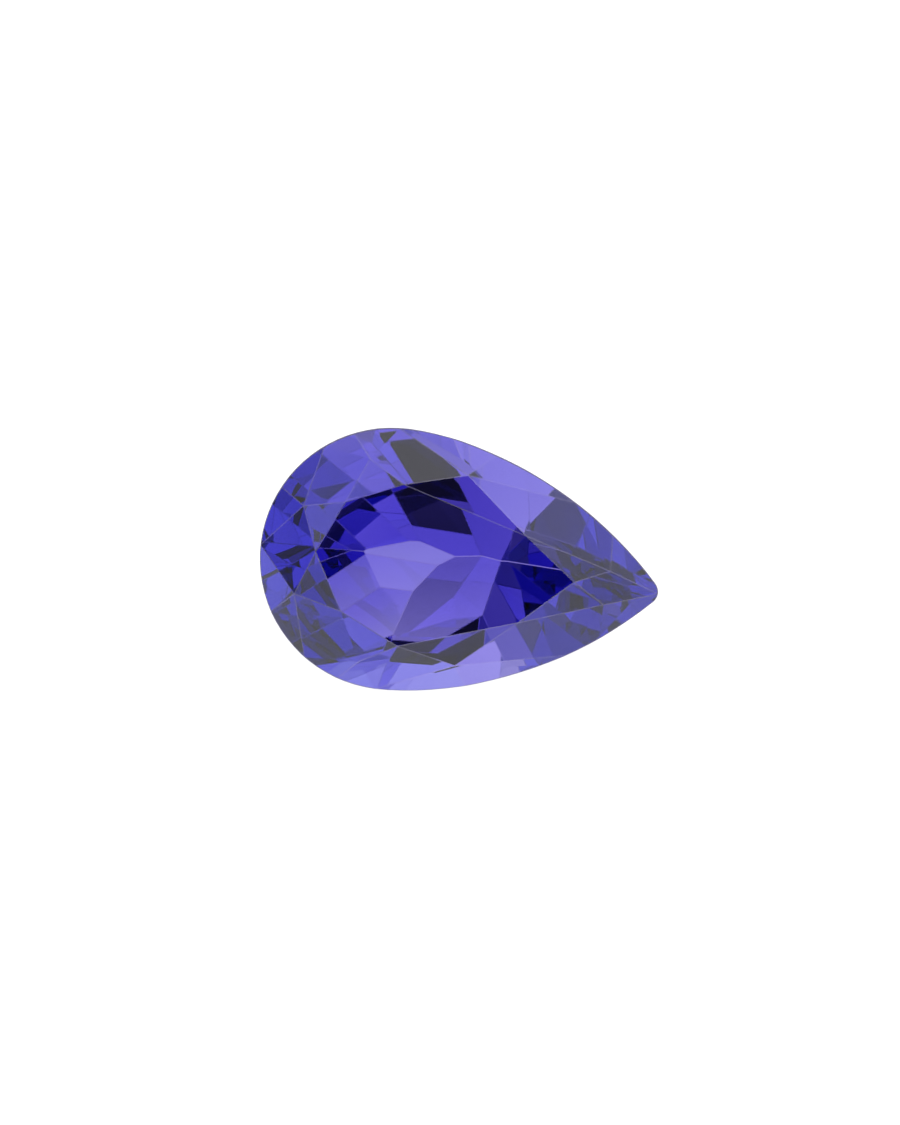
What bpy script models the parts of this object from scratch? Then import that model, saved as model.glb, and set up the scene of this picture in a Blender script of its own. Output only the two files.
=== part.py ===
"""A cut tanzanite: a pear-shaped brilliant lying on one of its pavilion facets.

The stone is made the way it is cut. A pear-shaped blank is sliced from the outline, and its facets are
ground into it one by one. A facet is given as a cutter gives it, by the way it faces, its slope from the
table plane and a point that it passes through.

The cutting frame is in millimetres: x runs along the stone to its point, y across it, and z along the
table's normal, with z = 0 at the middle of the girdle. The finished stone is then laid down, in metres.
"""

from math import atan2, cos, degrees, pi, radians, sin

import bmesh
import bpy
from mathutils import Matrix, Vector

MM = 0.001
STONE = "stone"

# Outline of the girdle: a round head, two soft shoulders, two flat flanks and a small round at the point
HEAD_CENTRE_X = -2.05
HEAD_RADIUS = 3.95
SHOULDER_RADIUS = 8.0
SHOULDER_TURN = 12.0
FLANKS_MEET_X = 6.15
POINT_X = 6.0
HEAD_STEPS = 20
SHOULDER_STEPS = 4
FLANK_STEPS = 16
POINT_STEPS = 5

# Heights in the cutting frame
TABLE_Z = 1.16
GIRDLE_TOP_Z = 0.12
GIRDLE_FOOT_Z = -0.06
CULET = (-0.4, 0.08, -3.7)
BLANK_HALF = 4.5

# Crown mains in turn from the point: facing, and corner on the table
CROWN_MAINS = (
    (0.0, (3.42, 0.15)),
    (60.0, (1.82, 1.34)),
    (94.0, (-2.0, 2.4)),
    (128.0, (-3.66, 1.65)),
    (181.0, (-4.35, 0.05)),
    (236.0, (-3.38, -1.62)),
    (270.0, (-1.57, -2.45)),
    (302.0, (1.92, -1.28)),
)
# Facing of the girdle where the two upper girdle facets between one main and the next meet
GIRDLE_MEETS = (53.0, 73.0, 114.0, 154.0, 211.0, 253.0, 287.0, 307.0)
# How far a star reaches from the table's edge to the girdle
STAR_LENGTH = 0.55

# Pavilion mains: facing and slope, and how far past the culet the head main is ground
BELLIES = ((100.0, 41.0), (277.0, 40.0))
SHOULDER = (222.0, 31.0)
HEAD = (184.0, 23.0)
HEAD_DEPTH = 0.1
# The flank main meets the bellies on the keel, this far along the stone
FLANK = (302.0, 48.0)
KEEL_MEET_X = 1.3
# Lower girdle facets: their facings to either side, and pairs of facing and slope that the rest follow
BREAK_FACINGS = (18.0, 40.0, 52.0, 63.0, 74.0, 84.0, 97.0, 112.0, 125.0, 140.0, 155.0, 170.0)
BREAK_SLOPES = ((0.0, 46.0), (45.0, 53.0), (90.0, 48.0), (135.0, 37.0), (180.0, 39.0))

# The stone lies on its lower belly
REST = BELLIES[1]

SLICE_GAP = 1e-6
WELD = 0.002
STONE_COLOUR = (0.10, 0.06, 0.55, 1.0)
REFRACTIVE_INDEX = 1.695


def facing(azimuth):
    """Horizontal unit vector of an azimuth in degrees."""
    return Vector((cos(radians(azimuth)), sin(radians(azimuth)), 0.0))


def outline_arcs():
    """Arcs of the upper half outline, head to point: centre, radius, first and last azimuth, steps."""
    head = Vector((HEAD_CENTRE_X, 0.0, 0.0))
    shoulder = head + facing(90.0) * (HEAD_RADIUS - SHOULDER_RADIUS)
    turned = facing(90.0 - SHOULDER_TURN)
    joint = shoulder + turned * SHOULDER_RADIUS
    reach = Vector((FLANKS_MEET_X, 0.0, 0.0)) - joint
    flank_radius = -reach.length_squared / (2.0 * reach.dot(turned))
    flank = joint - turned * flank_radius
    span = POINT_X - flank.x
    point_radius = (span ** 2 + flank.y ** 2 - flank_radius ** 2) / (2.0 * (span - flank_radius))
    point = Vector((POINT_X - point_radius, 0.0, 0.0))
    last = degrees(atan2(point.y - flank.y, point.x - flank.x))
    return (
        (head, HEAD_RADIUS, 180.0, 90.0, HEAD_STEPS),
        (shoulder, SHOULDER_RADIUS, 90.0, 90.0 - SHOULDER_TURN, SHOULDER_STEPS),
        (flank, flank_radius, 90.0 - SHOULDER_TURN, last, FLANK_STEPS),
        (point, point_radius, last, 0.0, POINT_STEPS),
    )


def outline_points():
    """The whole outline, round from the head over the far flank to the point and back."""
    upper = [Vector((HEAD_CENTRE_X - HEAD_RADIUS, 0.0, 0.0))]
    for centre, radius, first, last, steps in outline_arcs():
        for step in range(1, steps + 1):
            upper.append(centre + facing(first + (last - first) * step / steps) * radius)
    lower = [Vector((p.x, -p.y, 0.0)) for p in reversed(upper[1:-1])]
    return upper + lower


def girdle_point(azimuth, z):
    """Point of the outline whose outward normal has that azimuth, at height z."""
    azimuth = (azimuth + 180.0) % 360.0 - 180.0
    for centre, radius, first, last, _ in outline_arcs():
        if last <= abs(azimuth) <= first:
            spot = centre + facing(abs(azimuth)) * radius
            return Vector((spot.x, spot.y if azimuth >= 0.0 else -spot.y, z))
    raise ValueError("no arc of the outline faces %s" % azimuth)


def facet(azimuth, slope, through, side=1.0, depth=0.0):
    """Unit normal and distance of a facet, on the crown for side 1 and on the pavilion for side -1."""
    normal = facing(azimuth) * sin(radians(slope)) + Vector((0.0, 0.0, side * cos(radians(slope))))
    return normal, normal.dot(Vector(through)) - depth


def facet_on(first, second, third):
    """Plane through three points, its normal away from the middle of the stone."""
    normal = (second - first).cross(third - first).normalized()
    distance = normal.dot(first)
    if distance < 0.0:
        return -normal, -distance
    return normal, distance


def meet(*planes):
    """Point where three planes meet."""
    normals = Matrix([normal for normal, _ in planes])
    return normals.inverted() @ Vector([distance for _, distance in planes])


def main_facet(azimuth, corner):
    """Crown main that falls from its corner on the table to its foot on the girdle."""
    run = (girdle_point(azimuth, TABLE_Z) - corner).dot(facing(azimuth))
    slope = degrees(atan2(TABLE_Z - GIRDLE_TOP_Z, run))
    return facet(azimuth, slope, corner)


def star_foot(first, second, start, end):
    """Outer corner of the star between two mains, on their ridge, from its two corners on the table."""
    edge = end - start
    azimuth = degrees(atan2(-edge.x, edge.y))
    inner = start.dot(facing(azimuth))
    outer = girdle_point(azimuth, TABLE_Z).dot(facing(azimuth))
    return meet(first, second, (facing(azimuth), inner + (outer - inner) * STAR_LENGTH))


def crown():
    """Table, mains, stars and upper girdle facets."""
    planes = [(Vector((0.0, 0.0, 1.0)), TABLE_Z)]
    corners = [Vector((*corner, TABLE_Z)) for _, corner in CROWN_MAINS]
    feet = [girdle_point(azimuth, GIRDLE_TOP_Z) for azimuth, _ in CROWN_MAINS]
    mains = [main_facet(row[0], corner) for row, corner in zip(CROWN_MAINS, corners)]
    planes += mains
    for index, girdle_facing in enumerate(GIRDLE_MEETS):
        after = (index + 1) % len(CROWN_MAINS)
        shoulder = star_foot(mains[index], mains[after], corners[index], corners[after])
        station = girdle_point(girdle_facing, GIRDLE_TOP_Z)
        planes.append(facet_on(corners[index], corners[after], shoulder))
        planes.append(facet_on(feet[index], shoulder, station))
        planes.append(facet_on(feet[after], shoulder, station))
    return planes


def break_slope(azimuth):
    """Slope of a lower girdle facet, which changes smoothly from the point to the head."""
    for (first, slope), (last, next_slope) in zip(BREAK_SLOPES, BREAK_SLOPES[1:]):
        if first <= azimuth <= last:
            share = (1.0 - cos(pi * (azimuth - first) / (last - first))) / 2.0
            return slope + (next_slope - slope) * share
    raise ValueError("no lower girdle facet faces %s" % azimuth)


def pavilion():
    """Mains that rise from the culet and the keel, and lower girdle facets."""
    bellies = [facet(*belly, CULET, -1.0) for belly in BELLIES]
    keel_meet = meet(*bellies, (Vector((1.0, 0.0, 0.0)), KEEL_MEET_X))
    planes = [
        *bellies,
        facet(*SHOULDER, CULET, -1.0),
        facet(*HEAD, CULET, -1.0, HEAD_DEPTH),
        facet(*FLANK, keel_meet, -1.0),
    ]
    for azimuth in BREAK_FACINGS:
        slope = break_slope(azimuth)
        for turn in (azimuth, -azimuth):
            planes.append(facet(turn, slope, girdle_point(turn, GIRDLE_FOOT_Z), -1.0))
    return planes


def blank(collection):
    """Pear-shaped slice with upright sides, as a mesh object in millimetres."""
    curve = bpy.data.curves.new("blank_outline", "CURVE")
    curve.dimensions = "2D"
    curve.fill_mode = "BOTH"
    curve.extrude = BLANK_HALF
    points = outline_points()
    spline = curve.splines.new("POLY")
    spline.points.add(len(points) - 1)
    for knot, spot in zip(spline.points, points):
        knot.co = (spot.x, spot.y, 0.0, 1.0)
    spline.use_cyclic_u = True
    flat = bpy.data.objects.new("blank_outline", curve)
    collection.objects.link(flat)
    evaluated = flat.evaluated_get(bpy.context.evaluated_depsgraph_get())
    mesh = bpy.data.meshes.new_from_object(evaluated)
    stone = bpy.data.objects.new(STONE, mesh)
    stone.matrix_world = flat.matrix_world
    collection.objects.link(stone)
    bpy.data.objects.remove(flat)
    bpy.data.curves.remove(curve)
    return stone


def grind(bm, plane):
    """Take away what is outside a plane and close the flat that it leaves."""
    normal, distance = plane
    everything = bm.verts[:] + bm.edges[:] + bm.faces[:]
    cut = bmesh.ops.bisect_plane(
        bm, geom=everything, dist=SLICE_GAP, plane_co=normal * distance, plane_no=normal, clear_outer=True
    )
    rim = [item for item in cut["geom_cut"] if isinstance(item, bmesh.types.BMEdge)]
    if rim:
        bmesh.ops.contextual_create(bm, geom=rim)


def lay_down(stone):
    """Turn the stone so that its resting facet is level, and set it on z = 0 over the origin."""
    down, _ = facet(*REST, CULET, -1.0)
    up = -down
    along = (Vector((1.0, 0.0, 0.0)) - up * up.x).normalized()
    turn = Matrix((along, up.cross(along), up))
    spots = [turn @ vertex.co for vertex in stone.data.vertices]
    low = Vector([min(spot[axis] for spot in spots) for axis in range(3)])
    high = Vector([max(spot[axis] for spot in spots) for axis in range(3)])
    stone.rotation_euler = turn.to_euler()
    stone.location = (-(low.x + high.x) / 2.0, -(low.y + high.y) / 2.0, -low.z)


def tanzanite():
    """Violet blue crystal, clear."""
    material = bpy.data.materials.new("tanzanite")
    material.use_nodes = True
    shader = material.node_tree.nodes["Principled BSDF"]
    shader.inputs["Base Color"].default_value = STONE_COLOUR
    shader.inputs["Metallic"].default_value = 0.0
    shader.inputs["Roughness"].default_value = 0.02
    shader.inputs["IOR"].default_value = REFRACTIVE_INDEX
    shader.inputs["Transmission Weight"].default_value = 1.0
    return material


def cut_stone(collection):
    """The finished stone on its resting facet."""
    stone = blank(collection)
    bm = bmesh.new()
    bm.from_mesh(stone.data)
    bmesh.ops.remove_doubles(bm, verts=bm.verts, dist=WELD)
    for plane in crown() + pavilion():
        grind(bm, plane)
    bmesh.ops.remove_doubles(bm, verts=bm.verts, dist=WELD)
    bmesh.ops.recalc_face_normals(bm, faces=bm.faces)
    bmesh.ops.scale(bm, vec=(MM, MM, MM), verts=bm.verts)
    bm.to_mesh(stone.data)
    bm.free()
    stone.data.materials.append(tanzanite())
    lay_down(stone)
    return stone


def main():
    for item in list(bpy.data.objects):
        bpy.data.objects.remove(item)
    collection = bpy.data.collections.new("cut_tanzanite")
    bpy.context.scene.collection.children.link(collection)
    cut_stone(collection)


main()
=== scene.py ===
"""Looks of a cut tanzanite, a pear-shaped brilliant lying on a pavilion facet, seen face up on white."""

from math import cos, radians, sin, tan

import bmesh
import bpy
from mathutils import Matrix, Vector


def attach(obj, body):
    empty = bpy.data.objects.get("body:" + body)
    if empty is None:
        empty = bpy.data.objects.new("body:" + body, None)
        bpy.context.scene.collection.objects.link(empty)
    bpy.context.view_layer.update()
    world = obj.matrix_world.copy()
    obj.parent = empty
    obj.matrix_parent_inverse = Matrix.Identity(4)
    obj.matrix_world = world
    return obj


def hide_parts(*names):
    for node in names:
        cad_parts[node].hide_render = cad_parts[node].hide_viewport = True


MM = 0.001

# Photograph: frame, scale at the stone, middle of the stone's outline, and the stone's turn to the camera
PHOTO_WIDTH_PX = 900.0
PHOTO_HEIGHT_PX = 1125.0
PX_PER_MM = 33.375
STONE_X_PX = 459.5
STONE_Y_PX = 567.7
LONG_AXIS_DOWN = 7.4
LEAN_TO_FAR_FLANK = 6.8
LEAN_TO_POINT = -1.4
LENS_MM = 300.0
SENSOR_MM = 36.0
NEAR_CLIP_M = 0.005
FAR_CLIP_M = 5.0

# Height of the table over the middle of the girdle, in millimetres
TABLE_HEIGHT = 1.16

# Facet junctions and girdle in millimetres, and in degrees what counts as one facet and as a sharp junction
WELD = 0.0005
SLICE_GAP = 1e-6
JUNCTION_WIDTH = 0.03
GIRDLE_JUNCTION_WIDTH = 0.06
SAME_FACET = 0.4
SHARP_JUNCTION = 8.0
GIRDLE_LEAN = 0.02

# Crystal
REFRACTIVE_INDEX = 1.695
ABSORPTION_PER_M = 300.0
ABSORPTION_COLOUR = (0.17, 0.07, 0.8, 1.0)
# Broken junctions are narrow, slightly rough flats whose pale colour scatters white light as a painted
# highlight, an even bright line along every junction
JUNCTION_HIGHLIGHT_COLOUR = (0.8, 0.74, 0.95, 1.0)
JUNCTION_CLEAR = 0.9
JUNCTION_ROUGHNESS = 0.25
# The ground girdle is dull, and its dark colour is painted shade that draws a dark outline round the stone
GIRDLE_SHADE_COLOUR = (0.1, 0.08, 0.2, 1.0)
GIRDLE_CLEAR = 0.3
GIRDLE_ROUGHNESS = 0.5

# Tint of the light that passes a facet, as powers of e for red, green and blue: the middle tint, the way
# that facets of the most violet kind face, in degrees from the point, and what facing fully that way adds
CROWN_TINT = ((-0.05, -0.07, 0.0), 30.0, (0.6, 0.1, 0.0))
PAVILION_TINT = ((-0.22, -0.22, 0.0), 125.0, (0.4, 0.5, 0.0))
TINT_LAYER = "facet_tint"
CROWN_SLOT, PAVILION_SLOT, JUNCTION_SLOT, GIRDLE_SLOT = range(4)
ZONING_SCALE = 220.0
ZONING_DEPTH = 0.1

# Studio: brightness of the tent, a soft panel each at the front, the point, overhead and the back, and a
# dark flag behind the head, as azimuth from the stone's point, height, radius and brightness added
TENT = 0.9
PANELS = (
    (-45.0, 10.0, 30.0, 0.2),
    (10.0, 35.0, 30.0, 0.3),
    (-90.0, 60.0, 30.0, 0.4),
    (90.0, 45.0, 30.0, 0.4),
    (-170.0, 10.0, 35.0, -0.6),
)
PANEL_EDGE = 0.4
LENS_DARK_RADIUS = 22.0
LENS_DARK_EDGE = 3.0
LENS_DARK = 0.03
FLOOR_GREY = 0.3
FLOOR_GLOW = 0.95
FLOOR_SIZE = 1.2
FLOOR_GAP = 0.02

# Light paths: a clear stone needs many bounces inside
CLEAR_BOUNCES = 20
DULL_BOUNCES = 3


def facets_of(node):
    """The stone's flat facets as one bmesh in millimetres."""
    bm = bmesh.new()
    bm.from_mesh(node.data)
    bmesh.ops.scale(bm, vec=(1.0 / MM,) * 3, verts=bm.verts)
    bmesh.ops.remove_doubles(bm, verts=bm.verts, dist=WELD)
    bmesh.ops.dissolve_limit(
        bm, angle_limit=radians(SAME_FACET), verts=bm.verts, edges=bm.edges, delimit={"NORMAL"}
    )
    bm.normal_update()
    return bm


def stone_axes(bm):
    """Point, far flank and table directions of the stone, and the middle of its girdle, in millimetres."""
    table = max(bm.faces, key=lambda face: face.calc_area())
    up = table.normal.copy()
    along = Vector((up.z, 0.0, -up.x)).normalized()
    across = up.cross(along)
    spots = [vertex.co for vertex in bm.verts]

    def middle(axis):
        heights = [spot.dot(axis) for spot in spots]
        return (min(heights) + max(heights)) / 2.0

    height = table.calc_center_median().dot(up) - TABLE_HEIGHT
    centre = along * middle(along) + across * middle(across) + up * height
    return along, across, up, centre


def slice_off(bm, normal, distance, slot):
    """Take away what is outside a plane and close the flat with a face in that material slot."""
    everything = bm.verts[:] + bm.edges[:] + bm.faces[:]
    cut = bmesh.ops.bisect_plane(
        bm, geom=everything, dist=SLICE_GAP, plane_co=normal * distance, plane_no=normal, clear_outer=True
    )
    rim = [item for item in cut["geom_cut"] if isinstance(item, bmesh.types.BMEdge)]
    if len(rim) < 3:
        return
    made = bmesh.ops.contextual_create(bm, geom=rim)
    for face in made["faces"]:
        face.material_index = slot


def break_junctions(bm, up):
    """A narrow flat along every sharp junction between two facets, as polishing leaves it."""
    flats = []
    for edge in bm.edges:
        first, second = edge.link_faces
        upright = [abs(face.normal.dot(up)) < GIRDLE_LEAN for face in (first, second)]
        between = first.normal.angle(second.normal)
        if all(upright) or between < radians(SHARP_JUNCTION):
            continue
        width = GIRDLE_JUNCTION_WIDTH if any(upright) else JUNCTION_WIDTH
        slot = GIRDLE_SLOT if any(upright) else JUNCTION_SLOT
        normal = (first.normal + second.normal).normalized()
        drop = width / 2.0 * tan(between / 2.0)
        flats.append((normal, normal.dot(edge.verts[0].co) - drop, slot))
    for normal, distance, slot in flats:
        slice_off(bm, normal, distance, slot)


class Nodes:
    """A material's or world's node tree, with short ways to add and join nodes."""

    def __init__(self, tree):
        self.tree = tree

    def link(self, source, target):
        if hasattr(source, "is_output"):
            self.tree.links.new(source, target)
        else:
            target.default_value = source

    def math(self, operation, *values):
        node = self.tree.nodes.new("ShaderNodeMath")
        node.operation = operation
        for value, socket in zip(values, node.inputs):
            self.link(value, socket)
        return node.outputs["Value"]

    def vector(self, operation, *values, output="Vector"):
        node = self.tree.nodes.new("ShaderNodeVectorMath")
        node.operation = operation
        for value, socket in zip(values, node.inputs):
            self.link(value, socket)
        return node.outputs[output]

    def place(self, output):
        for node in self.tree.nodes:
            if node.bl_idname == "ShaderNodeTexCoord":
                return node.outputs[output]
        return self.tree.nodes.new("ShaderNodeTexCoord").outputs[output]

    def step(self, value, low, high, first, last):
        node = self.tree.nodes.new("ShaderNodeMapRange")
        node.interpolation_type = "SMOOTHSTEP"
        for setting, socket in zip((value, low, high, first, last), node.inputs):
            self.link(setting, socket)
        return node.outputs["Result"]


def facet_tint(normal, tint, axes):
    """Powers of e for red, green and blue that a facet lends to light, by the way that it faces."""
    middle, azimuth, lean = tint
    along, across, _, _ = axes
    violet_way = along * cos(radians(azimuth)) + across * sin(radians(azimuth))
    return Vector(middle) + Vector(lean) * normal.dot(violet_way)


def tint_colour(nodes):
    """Colour of a facet's tint, with faint zoning through the crystal."""
    tint = nodes.tree.nodes.new("ShaderNodeAttribute")
    tint.attribute_name = TINT_LAYER
    zoning = nodes.tree.nodes.new("ShaderNodeTexNoise")
    zoning.inputs["Scale"].default_value = ZONING_SCALE
    nodes.link(nodes.place("Object"), zoning.inputs["Vector"])
    spread = nodes.math("SUBTRACT", zoning.outputs["Fac"], 0.5)
    power = nodes.vector("MULTIPLY_ADD", spread, (ZONING_DEPTH,) * 3, tint.outputs["Vector"])
    power = nodes.vector("MINIMUM", power, (0.0, 0.0, 0.0))
    split = nodes.tree.nodes.new("ShaderNodeSeparateXYZ")
    nodes.link(power, split.inputs["Vector"])
    colour = nodes.tree.nodes.new("ShaderNodeCombineColor")
    for channel, socket in zip(split.outputs, colour.inputs):
        nodes.link(nodes.math("EXPONENT", nodes.math("MULTIPLY", channel, 2.0)), socket)
    return colour.outputs["Color"]


def crystal(name, colour=None, clear=1.0, roughness=0.0):
    """Violet blue crystal that drinks red and green on the way through, in facet tints or in one colour."""
    material = bpy.data.materials.new(name)
    material.use_nodes = True
    tree = material.node_tree
    nodes = Nodes(tree)
    shader = tree.nodes["Principled BSDF"]
    nodes.link(colour or tint_colour(nodes), shader.inputs["Base Color"])
    shader.inputs["Roughness"].default_value = roughness
    shader.inputs["IOR"].default_value = REFRACTIVE_INDEX
    shader.inputs["Transmission Weight"].default_value = clear
    absorption = tree.nodes.new("ShaderNodeVolumeAbsorption")
    absorption.inputs["Color"].default_value = ABSORPTION_COLOUR
    absorption.inputs["Density"].default_value = ABSORPTION_PER_M
    tree.links.new(absorption.outputs["Volume"], tree.nodes["Material Output"].inputs["Volume"])
    return material


def dress_stone(bm, axes):
    """The visible stone: the frame's facets with broken junctions and a ground girdle."""
    _, _, up, _ = axes
    break_junctions(bm, up)
    bm.normal_update()
    layer = bm.faces.layers.float_vector.new(TINT_LAYER)
    for face in bm.faces:
        lean = face.normal.dot(up)
        if face.material_index == CROWN_SLOT:
            if abs(lean) < GIRDLE_LEAN:
                face.material_index = GIRDLE_SLOT
            elif lean < 0.0:
                face.material_index = PAVILION_SLOT
        tint = PAVILION_TINT if lean < 0.0 else CROWN_TINT
        face[layer] = facet_tint(face.normal, tint, axes)
    bmesh.ops.scale(bm, vec=(MM,) * 3, verts=bm.verts)
    mesh = bpy.data.meshes.new("cut_stone")
    bm.to_mesh(mesh)
    mesh.attributes.remove(mesh.attributes["custom_normal"])
    mesh.shade_flat()
    stone = bpy.data.objects.new("cut_stone", mesh)
    bpy.context.scene.collection.objects.link(stone)
    mesh.materials.append(crystal("crown_facets"))
    mesh.materials.append(crystal("pavilion_facets"))
    # Pale junction colour: painted highlight, a bright line along each junction
    mesh.materials.append(crystal("facet_junctions_painted_highlight", JUNCTION_HIGHLIGHT_COLOUR, JUNCTION_CLEAR, JUNCTION_ROUGHNESS))
    # Dark girdle colour: painted shade, a dark outline round the stone
    mesh.materials.append(crystal("ground_girdle_painted_shade", GIRDLE_SHADE_COLOUR, GIRDLE_CLEAR, GIRDLE_ROUGHNESS))
    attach(stone, "root")
    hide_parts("stone")
    return stone


def make_camera(axes):
    """Camera at the photograph's angle, scale and framing. Returns the direction to the camera."""
    along, across, up, centre = axes
    to_camera = along * sin(radians(LEAN_TO_POINT)) + across * sin(radians(LEAN_TO_FAR_FLANK)) + up
    to_camera.normalize()
    flat_along = (along - to_camera * along.dot(to_camera)).normalized()
    flat_across = to_camera.cross(flat_along)
    turn = radians(LONG_AXIS_DOWN)
    right = flat_along * cos(turn) + flat_across * sin(turn)
    picture_up = to_camera.cross(right)
    left_px = STONE_X_PX - PHOTO_WIDTH_PX / 2.0
    down_px = STONE_Y_PX - PHOTO_HEIGHT_PX / 2.0
    target = centre - right * (left_px / PX_PER_MM) + picture_up * (down_px / PX_PER_MM)
    distance = LENS_MM * PHOTO_HEIGHT_PX / PX_PER_MM / SENSOR_MM
    data = bpy.data.cameras.new("camera")
    data.lens = LENS_MM
    data.sensor_width = SENSOR_MM
    data.clip_start = NEAR_CLIP_M
    data.clip_end = FAR_CLIP_M
    camera = bpy.data.objects.new("camera", data)
    turned = Matrix((right, picture_up, to_camera)).transposed()
    spot = (target + to_camera * distance) * MM
    camera.matrix_world = Matrix.LocRotScale(spot, turned.to_quaternion(), None)
    bpy.context.scene.collection.objects.link(camera)
    bpy.context.scene.camera = camera
    return to_camera


def make_floor():
    """Plain white floor, under the film of air that stays between it and the resting facet."""
    mesh = bpy.data.meshes.new("floor")
    bm = bmesh.new()
    bmesh.ops.create_grid(bm, x_segments=1, y_segments=1, size=FLOOR_SIZE / 2.0)
    bm.to_mesh(mesh)
    bm.free()
    floor = bpy.data.objects.new("floor", mesh)
    floor.location.z = -FLOOR_GAP * MM
    bpy.context.scene.collection.objects.link(floor)
    material = bpy.data.materials.new("white_floor")
    material.use_nodes = True
    shader = material.node_tree.nodes["Principled BSDF"]
    shader.inputs["Base Color"].default_value = (FLOOR_GREY, FLOOR_GREY, FLOOR_GREY, 1.0)
    shader.inputs["Roughness"].default_value = 1.0
    shader.inputs["Specular IOR Level"].default_value = 0.0
    shader.inputs["Emission Color"].default_value = (1.0, 1.0, 1.0, 1.0)
    shader.inputs["Emission Strength"].default_value = FLOOR_GLOW
    mesh.materials.append(material)
    return floor


def towards(azimuth, height):
    """Unit vector at an azimuth from +X and a height above the floor, in degrees."""
    level = cos(radians(height))
    return Vector((cos(radians(azimuth)) * level, sin(radians(azimuth)) * level, sin(radians(height))))


def make_studio(to_camera):
    """White light tent with soft panels and flags, and the dark lens in it, as the surroundings."""
    world = bpy.data.worlds.new("light_tent")
    bpy.context.scene.world = world
    world.use_nodes = True
    nodes = Nodes(world.node_tree)
    direction = nodes.place("Generated")
    light = TENT
    for azimuth, height, radius, gain in PANELS:
        facing = nodes.vector("DOT_PRODUCT", direction, towards(azimuth, height), output="Value")
        outer = cos(radians(radius * (1.0 + PANEL_EDGE)))
        inner = cos(radians(radius * (1.0 - PANEL_EDGE)))
        light = nodes.math("ADD", light, nodes.step(facing, outer, inner, 0.0, gain))
    light = nodes.math("MAXIMUM", light, 0.0)
    facing = nodes.vector("DOT_PRODUCT", direction, to_camera, output="Value")
    outer = cos(radians(LENS_DARK_RADIUS + LENS_DARK_EDGE))
    inner = cos(radians(LENS_DARK_RADIUS - LENS_DARK_EDGE))
    open_tent = nodes.step(facing, outer, inner, 1.0, 0.0)
    light = nodes.math("MULTIPLY_ADD", light, open_tent, LENS_DARK)
    nodes.link(light, world.node_tree.nodes["Background"].inputs["Color"])


def set_render(scene):
    """Colour and light paths."""
    scene.view_settings.view_transform = "Standard"
    scene.cycles.denoising_input_passes = "RGB"
    scene.cycles.max_bounces = CLEAR_BOUNCES + DULL_BOUNCES
    scene.cycles.glossy_bounces = CLEAR_BOUNCES
    scene.cycles.transmission_bounces = CLEAR_BOUNCES
    scene.cycles.diffuse_bounces = DULL_BOUNCES


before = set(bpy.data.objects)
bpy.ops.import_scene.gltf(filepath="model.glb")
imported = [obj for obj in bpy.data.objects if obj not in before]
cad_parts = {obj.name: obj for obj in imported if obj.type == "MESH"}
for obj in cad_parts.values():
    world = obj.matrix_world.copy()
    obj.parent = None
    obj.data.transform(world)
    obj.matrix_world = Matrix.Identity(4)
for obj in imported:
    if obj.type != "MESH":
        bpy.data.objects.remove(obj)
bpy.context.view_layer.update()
facets = facets_of(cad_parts["stone"])
axes = stone_axes(facets)
dress_stone(facets, axes)
to_camera = make_camera(axes)
make_floor()
make_studio(to_camera)
set_render(bpy.context.scene)
